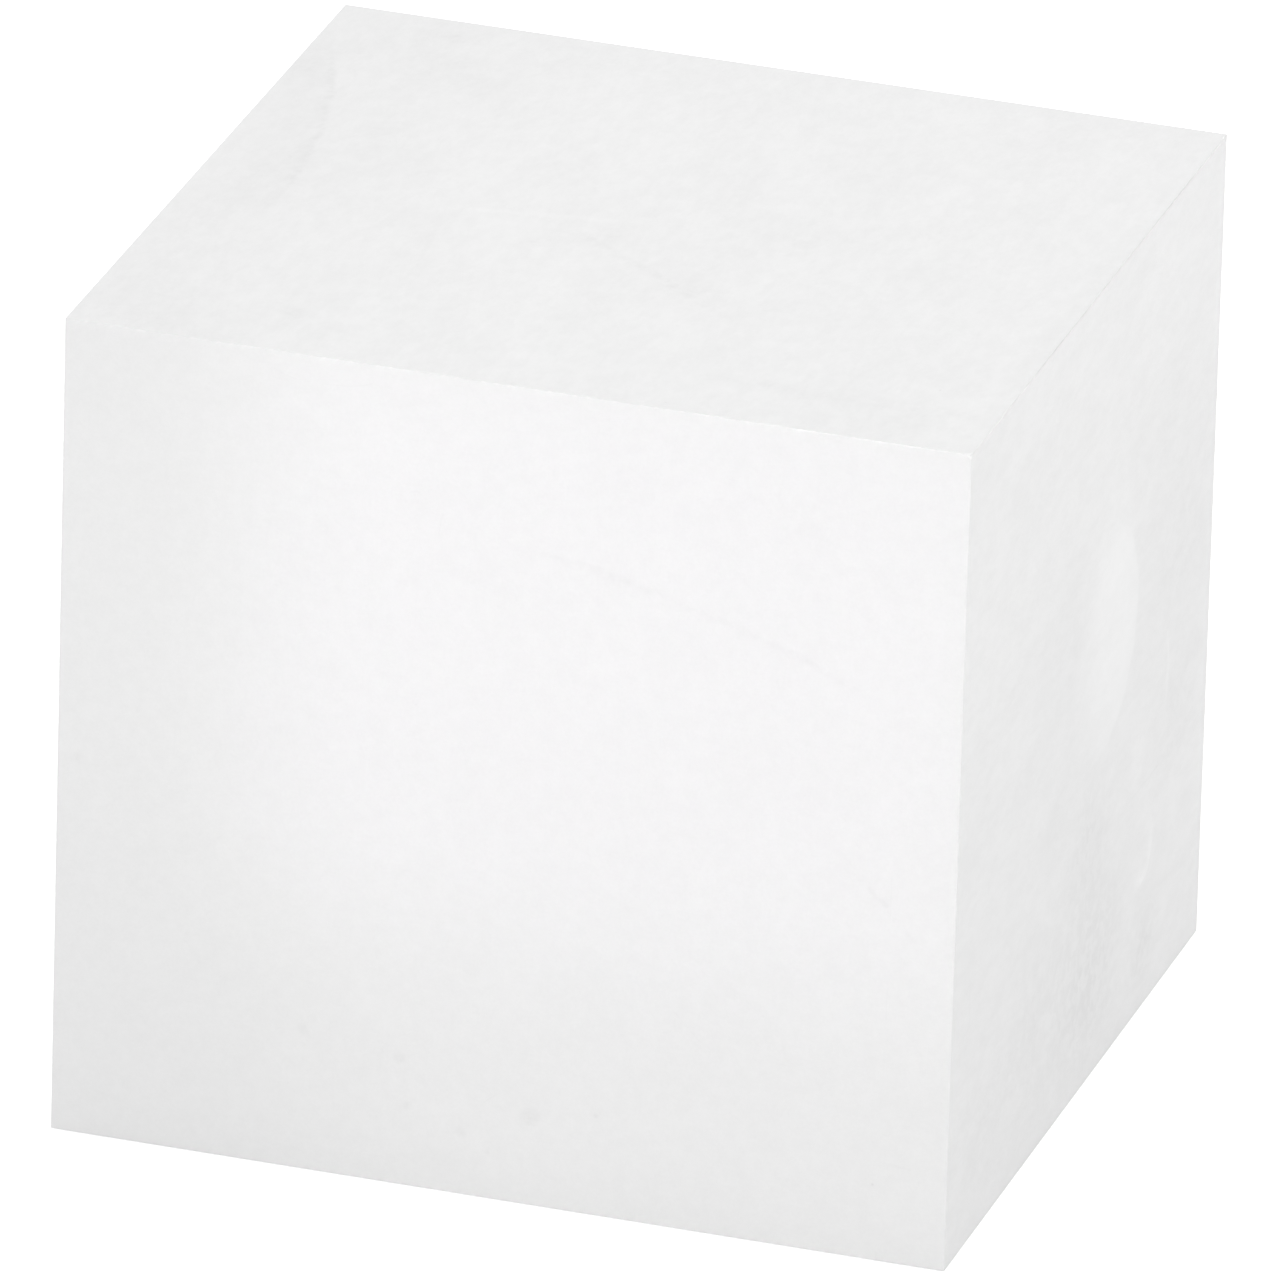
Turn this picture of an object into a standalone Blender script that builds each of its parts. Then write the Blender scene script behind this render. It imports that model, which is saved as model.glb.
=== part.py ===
"""White acrylic display cube with an open base.

Five sheets of opal acrylic are mitred at 45 degrees and bonded along their edges. Square acrylic
strips, bonded into the inner corners, back up the joints. A round pad under each corner strip
lifts the rim just clear of the surface that the cube stands on.

Metres, +Z up. The front faces -Y. The origin is on the standing surface, under the middle of
the cube.
"""

import math

import bmesh
import bpy
from mathutils import Matrix, Vector

# Overall size: over the outer faces, and from the underside of the pads to the top face.
WIDTH = 0.320
DEPTH = 0.298
HEIGHT = 0.302

# Acrylic sheet and the bonds between its pieces.
SHEET = 0.006
BOND_GAP = 0.0003
ARRIS_EASING = 0.0004
ARRIS_SEGMENTS = 2

# Square strips in the inner corners.
STRIP = 0.010
STRIP_EASING = 0.0006

# Round pads under the corner strips.
PAD_MARGIN = 0.0005
PAD_HEIGHT = 0.002
PAD_PROUD = 0.0008
PAD_EASING = 0.0004
PAD_SIDES = 40

# Sizes that follow from the ones above.
RIM_Z = PAD_PROUD
WALL_HEIGHT = HEIGHT - RIM_Z
WALL_MIDDLE_Z = RIM_Z + WALL_HEIGHT / 2
INNER_TOP_Z = HEIGHT - SHEET
STRIP_INSET = SHEET + BOND_GAP + STRIP / 2
STRIP_X = WIDTH / 2 - STRIP_INSET
STRIP_Y = DEPTH / 2 - STRIP_INSET
CORNER_STRIP_FOOT_Z = PAD_HEIGHT + BOND_GAP
CORNER_STRIP_HEAD_Z = INNER_TOP_Z - BOND_GAP
TOP_STRIP_Z = INNER_TOP_Z - BOND_GAP - STRIP / 2
STRIP_END_INSET = STRIP / 2 + BOND_GAP
PAD_RADIUS = STRIP / 2 - PAD_MARGIN

UP = Vector((0, 0, 1))
SIDE_DIRECTIONS = {
    "east": Vector((1, 0, 0)),
    "west": Vector((-1, 0, 0)),
    "north": Vector((0, 1, 0)),
    "south": Vector((0, -1, 0)),
}
ALL_SIDES = ("east", "west", "north", "south")
WALL_MITRES = ("east", "west", "north")
SHARP_ANGLE = math.radians(30)


def clear_scene():
    """Remove every object that the scene starts with."""
    for obj in list(bpy.data.objects):
        bpy.data.objects.remove(obj, do_unlink=True)


def make_material(name, colour, roughness):
    """A Principled material with one colour and one roughness."""
    material = bpy.data.materials.new(name)
    material.use_nodes = True
    shader = material.node_tree.nodes["Principled BSDF"]
    shader.inputs["Base Color"].default_value = (*colour, 1.0)
    shader.inputs["Roughness"].default_value = roughness
    shader.inputs["Metallic"].default_value = 0.0
    material.diffuse_color = (*colour, 1.0)
    return material


def add_object(name, bm, material, parent, collection):
    """Turn a bmesh into a named object in the collection, under its parent."""
    bmesh.ops.recalc_face_normals(bm, faces=bm.faces[:])
    mesh = bpy.data.meshes.new(name)
    bm.to_mesh(mesh)
    bm.free()
    mesh.materials.append(material)
    obj = bpy.data.objects.new(name, mesh)
    obj.parent = parent
    collection.objects.link(obj)
    return obj


def ease_edges(obj, width, segments):
    """Round the sharp edges of a piece with a Bevel modifier."""
    bevel = obj.modifiers.new("easing", "BEVEL")
    bevel.width = width
    bevel.segments = segments
    bevel.limit_method = "ANGLE"
    bevel.angle_limit = SHARP_ANGLE


def box_bmesh(size, centre):
    """A box of the given size, around the given centre."""
    bm = bmesh.new()
    place = Matrix.Translation(centre) @ Matrix.Diagonal((*size, 1.0))
    bmesh.ops.create_cube(bm, size=1.0, matrix=place)
    return bm


def cut_mitre(bm, side, reach):
    """Cut one side of a flat panel at 45 degrees, half a bond gap inside the joint's plane.

    The outer face of the panel is at z = 0 and faces up. reach is how far the panel's arris on
    that side is from its middle.
    """
    outward = SIDE_DIRECTIONS[side]
    normal = (outward - UP).normalized()
    point = outward * reach - normal * (BOND_GAP / 2)
    everything = bm.verts[:] + bm.edges[:] + bm.faces[:]
    cut = bmesh.ops.bisect_plane(
        bm, geom=everything, plane_co=point, plane_no=normal, clear_outer=True
    )
    edges = [item for item in cut["geom_cut"] if isinstance(item, bmesh.types.BMEdge)]
    bmesh.ops.edgeloop_fill(bm, edges=edges)


def make_panel(name, length, width, mitred_sides, material, parent, collection):
    """One sheet, flat, with its outer face up at z = 0 and its named sides mitred."""
    bm = box_bmesh((length, width, SHEET), Vector((0, 0, -SHEET / 2)))
    reaches = {"east": length / 2, "west": length / 2, "north": width / 2, "south": width / 2}
    for side in mitred_sides:
        cut_mitre(bm, side, reaches[side])
    panel = add_object(name, bm, material, parent, collection)
    ease_edges(panel, ARRIS_EASING, ARRIS_SEGMENTS)
    return panel


def make_top_panel(material, parent, collection):
    """The top sheet, mitred on all four sides."""
    panel = make_panel("top_panel", WIDTH, DEPTH, ALL_SIDES, material, parent, collection)
    panel.location = (0, 0, HEIGHT)


def make_wall_panels(material, parent, collection):
    """The four walls, mitred where they meet the top and each other and square at the rim."""
    walls = (
        ("front_panel", WIDTH, DEPTH / 2, 0),
        ("right_panel", DEPTH, WIDTH / 2, 90),
        ("back_panel", WIDTH, DEPTH / 2, 180),
        ("left_panel", DEPTH, WIDTH / 2, 270),
    )
    for name, length, distance, turn_degrees in walls:
        turn = math.radians(turn_degrees)
        wall = make_panel(name, length, WALL_HEIGHT, WALL_MITRES, material, parent, collection)
        wall.rotation_euler = (math.radians(90), 0, turn)
        wall.location = (distance * math.sin(turn), -distance * math.cos(turn), WALL_MIDDLE_Z)


def make_strip(name, size, location, material, parent, collection):
    """One straight strip with eased edges."""
    strip = add_object(name, box_bmesh(size, Vector()), material, parent, collection)
    strip.location = location
    ease_edges(strip, STRIP_EASING, ARRIS_SEGMENTS)


def corner_places(stem):
    """The name, x and y of the four corners that the upright strips stand in."""
    return (
        (f"{stem}_front_left", -STRIP_X, -STRIP_Y),
        (f"{stem}_front_right", STRIP_X, -STRIP_Y),
        (f"{stem}_back_left", -STRIP_X, STRIP_Y),
        (f"{stem}_back_right", STRIP_X, STRIP_Y),
    )


def make_corner_strips(material, parent, collection):
    """Four upright strips, one in each inner corner of the walls."""
    length = CORNER_STRIP_HEAD_Z - CORNER_STRIP_FOOT_Z
    middle_z = CORNER_STRIP_FOOT_Z + length / 2
    for name, x, y in corner_places("corner_strip"):
        make_strip(name, (STRIP, STRIP, length), (x, y, middle_z), material, parent, collection)


def make_top_strips(material, parent, collection):
    """Four level strips under the edges of the top, between the corner strips."""
    length_x = 2 * (STRIP_X - STRIP_END_INSET)
    length_y = 2 * (STRIP_Y - STRIP_END_INSET)
    strips = (
        ("top_strip_front", (length_x, STRIP, STRIP), (0, -STRIP_Y, TOP_STRIP_Z)),
        ("top_strip_back", (length_x, STRIP, STRIP), (0, STRIP_Y, TOP_STRIP_Z)),
        ("top_strip_left", (STRIP, length_y, STRIP), (-STRIP_X, 0, TOP_STRIP_Z)),
        ("top_strip_right", (STRIP, length_y, STRIP), (STRIP_X, 0, TOP_STRIP_Z)),
    )
    for name, size, location in strips:
        make_strip(name, size, location, material, parent, collection)


def make_foot_pads(material, parent, collection):
    """Four round pads, one under the foot of each corner strip."""
    for name, x, y in corner_places("foot_pad"):
        bm = bmesh.new()
        bmesh.ops.create_cone(
            bm,
            cap_ends=True,
            segments=PAD_SIDES,
            radius1=PAD_RADIUS,
            radius2=PAD_RADIUS,
            depth=PAD_HEIGHT,
        )
        pad = add_object(name, bm, material, parent, collection)
        pad.location = (x, y, PAD_HEIGHT / 2)
        pad.data.shade_smooth()
        pad.data.set_sharp_from_angle(angle=SHARP_ANGLE)
        ease_edges(pad, PAD_EASING, ARRIS_SEGMENTS)


def main():
    """Build the cube, with its parts under one empty on the standing surface."""
    clear_scene()
    collection = bpy.data.collections.new("acrylic_display_cube")
    bpy.context.scene.collection.children.link(collection)
    origin = bpy.data.objects.new("display_cube_origin", None)
    collection.objects.link(origin)

    opal_acrylic = make_material("opal_acrylic", (0.87, 0.87, 0.86), 0.15)
    strip_acrylic = make_material("strip_acrylic", (0.82, 0.82, 0.81), 0.25)
    pad_rubber = make_material("pad_rubber", (0.55, 0.55, 0.54), 0.6)

    make_top_panel(opal_acrylic, origin, collection)
    make_wall_panels(opal_acrylic, origin, collection)
    make_corner_strips(strip_acrylic, origin, collection)
    make_top_strips(strip_acrylic, origin, collection)
    make_foot_pads(pad_rubber, origin, collection)


main()
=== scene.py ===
"""White acrylic display cube, laid out as an add-on: sheets, bonds, strips, fillets, pads and stage."""

import math

import bmesh
import bpy
from bpy.props import FloatProperty, FloatVectorProperty, PointerProperty
from mathutils import Matrix, Vector, noise


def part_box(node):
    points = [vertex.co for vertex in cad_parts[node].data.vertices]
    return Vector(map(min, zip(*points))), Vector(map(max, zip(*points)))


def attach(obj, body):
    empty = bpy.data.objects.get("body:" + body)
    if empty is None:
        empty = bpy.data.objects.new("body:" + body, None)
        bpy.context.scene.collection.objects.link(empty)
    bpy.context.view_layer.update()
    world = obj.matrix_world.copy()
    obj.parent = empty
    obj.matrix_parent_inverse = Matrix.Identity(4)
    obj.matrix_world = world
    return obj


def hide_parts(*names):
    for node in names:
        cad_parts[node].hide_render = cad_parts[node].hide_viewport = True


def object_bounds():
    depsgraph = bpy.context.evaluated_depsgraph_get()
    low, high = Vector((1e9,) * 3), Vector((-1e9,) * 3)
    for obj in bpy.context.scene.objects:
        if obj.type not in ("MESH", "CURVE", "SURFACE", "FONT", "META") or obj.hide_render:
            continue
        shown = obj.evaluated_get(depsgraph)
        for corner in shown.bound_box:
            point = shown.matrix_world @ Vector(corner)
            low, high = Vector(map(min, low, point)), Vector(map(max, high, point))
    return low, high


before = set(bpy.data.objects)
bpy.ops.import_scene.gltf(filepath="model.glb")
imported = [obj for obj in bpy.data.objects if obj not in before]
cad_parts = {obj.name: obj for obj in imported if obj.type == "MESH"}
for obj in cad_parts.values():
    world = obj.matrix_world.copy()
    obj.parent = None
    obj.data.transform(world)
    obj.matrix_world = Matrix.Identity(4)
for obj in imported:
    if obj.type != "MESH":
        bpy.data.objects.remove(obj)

bl_info = {
    "name": "Acrylic Display Cube",
    "version": (1, 0, 0),
    "blender": (4, 5, 0),
    "location": "3D View > Sidebar > Display Cube",
    "description": "Builds a white acrylic display cube: mitred sheets, bonds, inner strips and pads",
    "category": "Add Mesh",
}

MM = 0.001
# Edges turned by more than this are drawn sharp.
SHARP_ANGLE = math.radians(30)
RIGHT_ANGLE = math.radians(90)
UP, FRONT, RIGHT = Vector((0, 0, 1)), Vector((0, -1, 0)), Vector((1, 0, 0))
BACK, LEFT = -FRONT, -RIGHT

# Places and sizes that come from the frame.
CAD_LOW, CAD_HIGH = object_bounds()
BODY = "root"
HALF_WIDTH = (CAD_HIGH.x - CAD_LOW.x) / 2
HALF_DEPTH = (CAD_HIGH.y - CAD_LOW.y) / 2
TOP_Z = CAD_HIGH.z
RIM_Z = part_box("front_panel")[0].z
SHEET_THICKNESS = TOP_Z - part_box("top_panel")[0].z
WALL_HEIGHT = TOP_Z - RIM_Z
WALL_MIDDLE_Z = RIM_Z + WALL_HEIGHT / 2
STRIP_LOW, STRIP_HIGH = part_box("corner_strip_front_left")
STRIP_WIDTH = STRIP_HIGH.x - STRIP_LOW.x
STRIP_GAP = STRIP_LOW.x + HALF_WIDTH - SHEET_THICKNESS

# Each sheet: its name, the node that it stands for, the way it faces, and the way its own +Y runs.
SHEETS = (
    ("sheet_top", "top_panel", UP, BACK),
    ("sheet_front", "front_panel", FRONT, UP),
    ("sheet_right", "right_panel", RIGHT, UP),
    ("sheet_back", "back_panel", BACK, UP),
    ("sheet_left", "left_panel", LEFT, UP),
)

# Each bond: its name, and the ways that its two sheets face.
BONDS = (
    ("bond_top_front", UP, FRONT),
    ("bond_top_right", UP, RIGHT),
    ("bond_top_back", UP, BACK),
    ("bond_top_left", UP, LEFT),
    ("bond_front_left", FRONT, LEFT),
    ("bond_front_right", FRONT, RIGHT),
    ("bond_back_left", BACK, LEFT),
    ("bond_back_right", BACK, RIGHT),
)
STARVED_BOND = "bond_top_right"

# Each strip: its node, and the ways from it to the two sheets that it is cemented to.
STRIPS = (
    ("corner_strip_front_left", FRONT, LEFT),
    ("corner_strip_front_right", FRONT, RIGHT),
    ("corner_strip_back_left", BACK, LEFT),
    ("corner_strip_back_right", BACK, RIGHT),
    ("top_strip_front", UP, FRONT),
    ("top_strip_back", UP, BACK),
    ("top_strip_left", UP, LEFT),
    ("top_strip_right", UP, RIGHT),
)
FOOT_PADS = (
    "foot_pad_front_left",
    "foot_pad_front_right",
    "foot_pad_back_left",
    "foot_pad_back_right",
)

# How cloudy each sheet is: strength of the broad clouds, of the mottle and of the grain, and how many
# times as fast the three change along each axis.
CLOUDING = {
    "sheet_top": (0.22, 0.32, 0.56, (1.0, 0.5, 1.0)),
    "sheet_front": (0.07, 0.17, 0.50, (1.0, 1.0, 1.0)),
    "sheet_right": (0.18, 0.33, 0.66, (1.0, 0.4, 1.0)),
    "sheet_back": (0.12, 0.20, 0.50, (1.0, 1.0, 0.8)),
    "sheet_left": (0.16, 0.26, 0.55, (1.0, 0.7, 1.0)),
}

# Long marks along arcs, mostly left by wiping, in millimetres on a sheet's outer face: centre and
# radius of the arc that the mark follows, how far it fades inside and outside the arc, its middle, its
# reach along the arc, how patchy it is, and its strength, below zero where the mark is lighter than the
# sheet. The marks noted as painted are painted shade or painted highlight.
ARC_MARKS = {
    "sheet_front": (
        ((-68, -241), 490, 2.6, 2.0, (66, 230), 80, 0.9, 0.08),
        ((-9, -6), 200, 2.0, 2.0, (132, 135), 24, 0.9, 0.10),
    ),
    "sheet_top": (
        ((-487, -22), 360, 3.4, 2.2, (-132, 42), 85, 0.8, 0.09),
        ((-487, -22), 360, 34.0, 2.0, (-140, 42), 110, 0.3, 0.08),
        ((46, -497), 500, 3.0, 3.0, (-40, -5), 48, 0.6, -0.24),
        ((-514, -769), 900, 4.0, 3.4, (12, -40), 62, 0.9, 0.08),
        ((100, 880), 1000, 9.0, 6.0, (105, -120), 66, 0.6, 0.08),
        # Painted shade: the next mark is a darker band along the top sheet's right border, in place of
        # the shade of the right wall under it.
        ((-9845, -20), 10000, 4.0, 40.0, (157, -30), 140, 0.4, 0.06),
    ),
    # Right sheet: the three marks below zero are painted highlight, a bright leaf-shaped patch with a
    # sharp curved edge and two light arcs; the last mark is a fine scratch.
    "sheet_right": (
        ((17, 164), 41.0, 62.0, 3.0, (42, 158), 62, 0.2, -0.44),
        ((73, 64), 14, 9.0, 1.5, (82, 55), 19, 0.5, -0.60),
        ((60, 121), 40, 2.5, 2.0, (100, 121), 18, 0.5, -0.50),
        ((78, -912), 1000, 0.7, 0.7, (78, 88), 24, 0.5, 0.09),
    ),
    "sheet_left": (
        ((-260, 40), 300, 1.2, 0.8, (30, 120), 70, 0.9, 0.05),
    ),
    "sheet_back": (
        ((90, 520), 420, 0.8, 0.8, (60, 101), 60, 1.0, 0.05),
    ),
}

# Blots: place and radius in millimetres on the sheet's outer face, and strength with the same sign.
BLOTS = {
    "sheet_front": (
        ((12, 34), 4.0, 0.24), ((35, 38), 1.6, 0.20), ((-35, 48), 3.0, 0.16),
        ((-32, 31), 3.0, 0.14), ((-13, 24), 2.4, 0.14), ((-3, 18), 2.6, 0.14),
        ((-70, 53), 3.4, 0.10), ((-153, 141), 3.0, 0.12), ((-82, 128), 5.0, 0.06),
        ((157, 63), 1.6, 0.20),
    ),
    "sheet_top": (
        ((-115, 134), 9.0, 0.15), ((53, 3), 5.0, 0.11), ((-90, -116), 6.5, 0.14),
        ((-150, -140), 60.0, 0.08), ((-156, 90), 12.0, 0.11), ((130, -129), 26.0, 0.06),
        ((28, -49), 20.0, 0.10), ((-9, -16), 17.0, 0.08), ((-108, 102), 28.0, 0.07),
    ),
    # Right sheet: the blots above zero are painted shade, broad darker clouds, and the two below zero
    # are painted light.
    "sheet_right": (
        ((113, 68), 14.0, -0.32), ((66, 104), 14.0, -0.30), ((8, 96), 36.0, 0.20),
        ((14, 42), 60.0, 0.27), ((80, 24), 26.0, 0.22), ((-32, 110), 26.0, 0.06),
        ((98, 230), 26.0, 0.06), ((112, 168), 50.0, 0.11), ((-48, 48), 60.0, 0.14),
        ((-112, 40), 52.0, 0.10), ((112, 100), 46.0, 0.11),
    ),
    "sheet_left": (
        ((-60, 60), 30.0, 0.04), ((80, 200), 24.0, 0.03),
    ),
    "sheet_back": (
        ((-90, 40), 34.0, 0.04), ((40, 250), 3.0, 0.08),
    ),
}


# Settings that a user would change


def length_setting(name, description, default):
    """A length, kept in metres."""
    return FloatProperty(
        name=name, description=description, default=default, min=0.0, precision=4, unit="LENGTH"
    )


def angle_setting(name, description, degrees):
    """An angle, shown in degrees."""
    turn = math.radians(degrees)
    return FloatProperty(
        name=name, description=description, default=turn, subtype="ANGLE", unit="ROTATION"
    )


def colour_setting(name, description, default):
    """A colour."""
    return FloatVectorProperty(
        name=name, description=description, default=default, size=3, min=0.0, max=1.0, subtype="COLOR"
    )


class FinishSettings(bpy.types.PropertyGroup):
    """Colours of the materials."""

    sheet: colour_setting("Sheet", "Clean opal acrylic", (0.925, 0.925, 0.925))
    clouded: colour_setting("Clouded", "Opal acrylic at its cloudiest", (0.845, 0.845, 0.845))
    # Also the colour of the painted highlight and painted light on the right sheet.
    wiped_and_painted_highlight: colour_setting("Wiped", "Opal acrylic where a cloth has polished it", (0.965, 0.965, 0.965))
    # Also the colour of the painted shade on the right sheet and along the top sheet's right border.
    grime_and_painted_shade: colour_setting("Grime", "Scuffs, specks and dried smears", (0.6, 0.6, 0.6))
    strip: colour_setting("Strip", "Sawn acrylic strip", (0.84, 0.84, 0.835))
    cement: colour_setting("Cement", "Set acrylic cement", (0.87, 0.87, 0.865))
    old_cement: colour_setting("Old Cement", "Cement that has taken up dirt", (0.63, 0.63, 0.626))
    rubber: colour_setting("Rubber", "Foot pads", (0.5, 0.5, 0.49))
    # Painted light: strength of the light that the inner sides of the sheets give off, standing in for
    # light that soaks through them.
    painted_glow: FloatProperty(
        name="Glow",
        description="Light that soaks through the opal sheets to their inner sides",
        default=0.2,
        min=0.0,
    )


class SheetSettings(bpy.types.PropertyGroup):
    """Sizes of the mitred sheets and their joints."""

    arris: length_setting("Arris", "Leg of the scraped chamfer along each outer edge", 0.07 * MM)
    arris_round: length_setting("Arris Round", "Rounding of that chamfer's own edges", 0.025 * MM)
    rim_easing: length_setting("Rim Easing", "Rounding of the sawn rim at the open bottom", 0.2 * MM)
    bond_gap: length_setting("Bond Gap", "Width of a well filled joint", 0.09 * MM)
    starved_gap: length_setting("Starved Gap", "Width of the joint that shows as a line", 0.46 * MM)
    cell: length_setting("Cell", "Distance between the cuts that let a sheet bow", 8 * MM)
    bow: length_setting("Bow", "How far the middle of a sheet sinks below its edges", 0.25 * MM)
    ripple: length_setting("Ripple", "Height of the waves that casting leaves in a sheet", 0.04 * MM)
    corner_knock: length_setting("Corner Knock", "Depth of the bruise on one top corner", 1.1 * MM)


class CementSettings(bpy.types.PropertyGroup):
    """Sizes of the cement in the joints and along the strips."""

    recess: length_setting("Recess", "How far set cement lies below the chamfer", 0.01 * MM)
    starved_recess: length_setting("Starved Recess", "The same in the starved joint", 0.01 * MM)
    dip: length_setting("Dip", "How far cement dips here and there in the starved joint", 0.05 * MM)
    bead: length_setting("Bead", "Leg of the fillet that squeezes out along a strip", 0.9 * MM)
    bead_step: length_setting("Bead Step", "Distance between the swellings of a fillet", 4 * MM)


class StripSettings(bpy.types.PropertyGroup):
    """Sizes of the inner strips."""

    easing: length_setting("Easing", "Rounding of a strip's long edges", 0.6 * MM)


class PadSettings(bpy.types.PropertyGroup):
    """Sizes of the foot pads."""

    foot_round: length_setting("Foot Round", "Rounding where a pad meets the floor", 0.8 * MM)
    ring_depth: length_setting("Ring Depth", "Depth of the ring moulded in the underside", 0.15 * MM)
    film: length_setting("Film", "Thickness of the sticky film above a pad", 0.28 * MM)


class StageSettings(bpy.types.PropertyGroup):
    """The floor, the camera and the light."""

    azimuth: angle_setting("Azimuth", "Turn of the camera round the cube from its front", 17.2121)
    elevation: angle_setting("Elevation", "Height of the camera above the horizon", 23.8240)
    roll: angle_setting("Roll", "Turn of the camera about its own line of sight", 1.6204)
    distance: length_setting("Distance", "From the camera to the point that it aims at", 8.4970)
    lens: FloatProperty(name="Lens", description="Focal length in millimetres", default=696.53, min=1.0)
    aim: FloatVectorProperty(
        name="Aim",
        description="The point at the middle of the picture",
        default=(-0.00017, 0.0, 0.14746),
        subtype="TRANSLATION",
        unit="LENGTH",
    )
    floor_radius: length_setting("Floor Radius", "How far the floor reaches", 30.0)
    fill: FloatProperty(
        name="Fill",
        description="Strength of the even light from all round",
        default=0.693,
        min=0.0,
    )


class DisplayCubeSettings(bpy.types.PropertyGroup):
    """Everything that the panel shows."""

    finish: PointerProperty(type=FinishSettings, name="Finish", description="Colours")
    sheets: PointerProperty(type=SheetSettings, name="Sheets", description="Mitred sheets")
    cement: PointerProperty(type=CementSettings, name="Cement", description="Cement at the joints")
    strips: PointerProperty(type=StripSettings, name="Strips", description="Inner strips")
    pads: PointerProperty(type=PadSettings, name="Pads", description="Foot pads")
    stage: PointerProperty(type=StageSettings, name="Stage", description="Floor, camera and light")


# Helpers for nodes


def set_inputs(tree, node, inputs):
    """Link or set a node's inputs."""
    for name, value in inputs.items():
        if isinstance(value, bpy.types.NodeSocket):
            tree.links.new(value, node.inputs[name])
        else:
            node.inputs[name].default_value = value
    return node


def add_node(tree, kind, inputs=None, **settings):
    """Add a node, set its settings, and link or set its inputs."""
    node = tree.nodes.new(kind)
    for name, value in settings.items():
        setattr(node, name, value)
    return set_inputs(tree, node, inputs or {})


def maths(tree, operation, first, second=0.0, clamp=False):
    """The result of a Math node on one or two values."""
    node = add_node(tree, "ShaderNodeMath", {0: first, 1: second}, operation=operation, use_clamp=clamp)
    return node.outputs[0]


def times(tree, first, second):
    """One value times another."""
    return maths(tree, "MULTIPLY", first, second)


def plus(tree, first, second, clamp=False):
    """One value plus another, kept from 0 to 1 if clamped."""
    return maths(tree, "ADD", first, second, clamp)


def minus(tree, first, second, clamp=False):
    """One value less another, kept from 0 to 1 if clamped."""
    return maths(tree, "SUBTRACT", first, second, clamp)


def vector_maths(tree, operation, first, second=(0.0, 0.0, 0.0)):
    """The first result of a Vector Math node."""
    node = add_node(tree, "ShaderNodeVectorMath", {0: first, 1: second}, operation=operation)
    return node.outputs["Value" if operation == "DISTANCE" else "Vector"]


def remap(tree, value, low, high, to_low=0.0, to_high=1.0):
    """A value brought smoothly from one range to another."""
    inputs = {"Value": value, "From Min": low, "From Max": high, "To Min": to_low, "To Max": to_high}
    node = add_node(tree, "ShaderNodeMapRange", inputs, interpolation_type="SMOOTHSTEP")
    return node.outputs["Result"]


def noise_at(tree, vector, scale, detail, roughness=0.5):
    """The value of a Noise texture."""
    inputs = {"Vector": vector, "Scale": scale, "Detail": detail, "Roughness": roughness}
    return add_node(tree, "ShaderNodeTexNoise", inputs).outputs["Fac"]


def new_group(name, inputs, outputs):
    """An empty shader group with the given sockets, and its input and output nodes."""
    tree = bpy.data.node_groups.new(name, "ShaderNodeTree")
    for label, value in inputs.items():
        kind = "NodeSocketFloat" if isinstance(value, float) else "NodeSocketVector"
        socket = tree.interface.new_socket(label, in_out="INPUT", socket_type=kind)
        socket.default_value = value
    for label in outputs:
        tree.interface.new_socket(label, in_out="OUTPUT", socket_type="NodeSocketFloat")
    return tree, tree.nodes.new("NodeGroupInput").outputs, tree.nodes.new("NodeGroupOutput")


def use_group(tree, name, inputs):
    """The outputs of the named group, used with its own values."""
    node = tree.nodes.new("ShaderNodeGroup")
    node.node_tree = bpy.data.node_groups[name]
    return set_inputs(tree, node, inputs).outputs


def mixed_colour(tree, factor, first, second):
    """One colour turning into another as the factor goes from 0 to 1."""
    node = add_node(tree, "ShaderNodeMix", {"Factor": factor}, data_type="RGBA")
    for index, colour in ((6, first), (7, second)):
        if isinstance(colour, bpy.types.NodeSocket):
            tree.links.new(colour, node.inputs[index])
        else:
            node.inputs[index].default_value = (*colour, 1.0)
    return node.outputs[2]


# Shared effects

NOWHERE = (0.0, 0.0, 0.0)
BLACK = (0.0, 0.0, 0.0)
# Nearly all of a noise's values lie between these, about their middle.
NOISE_LOW, NOISE_HIGH = 0.3, 0.7
NOISE_MIDDLE = 0.5

# Changes to the metre across and along a saw's lines.
SAW_ACROSS, SAW_ALONG = 1500.0, 60.0


def build_clouding_group():
    """Soft clouds, mottle five times as fine, and fine grain in a casting."""
    tree, given, out = new_group(
        "Cast Clouding",
        {"Vector": NOWHERE, "Cloud Scale": 25.0, "Grain Scale": 900.0},
        ("Cloud", "Mottle", "Grain"),
    )
    mottle_scale = times(tree, given["Cloud Scale"], 5.0)
    cloud = noise_at(tree, given["Vector"], given["Cloud Scale"], 3.0, 0.5)
    mottle = noise_at(tree, given["Vector"], mottle_scale, 4.0, 0.6)
    grain = noise_at(tree, given["Vector"], given["Grain Scale"], 2.0, 0.6)
    cloud, mottle = (remap(tree, field, NOISE_LOW, NOISE_HIGH) for field in (cloud, mottle))
    set_inputs(tree, out, {"Cloud": cloud, "Mottle": mottle, "Grain": grain})


def build_hairline_group():
    """Thin curved scratches, broken into short lengths. A greater amount keeps more of them."""
    tree, given, out = new_group(
        "Hairlines", {"Vector": NOWHERE, "Scale": 9.0, "Width": 0.004, "Amount": 0.5}, ("Mask",)
    )
    field = noise_at(tree, given["Vector"], given["Scale"], 0.0)
    off_line = maths(tree, "ABSOLUTE", minus(tree, field, NOISE_MIDDLE))
    line = minus(tree, 1.0, maths(tree, "DIVIDE", off_line, given["Width"]), clamp=True)
    break_scale = times(tree, given["Scale"], 3.3)
    breaks = noise_at(tree, given["Vector"], break_scale, 2.0)
    threshold = minus(tree, 0.75, times(tree, given["Amount"], 0.3))
    kept = maths(tree, "GREATER_THAN", breaks, threshold)
    tree.links.new(times(tree, line, kept), out.inputs["Mask"])


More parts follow.
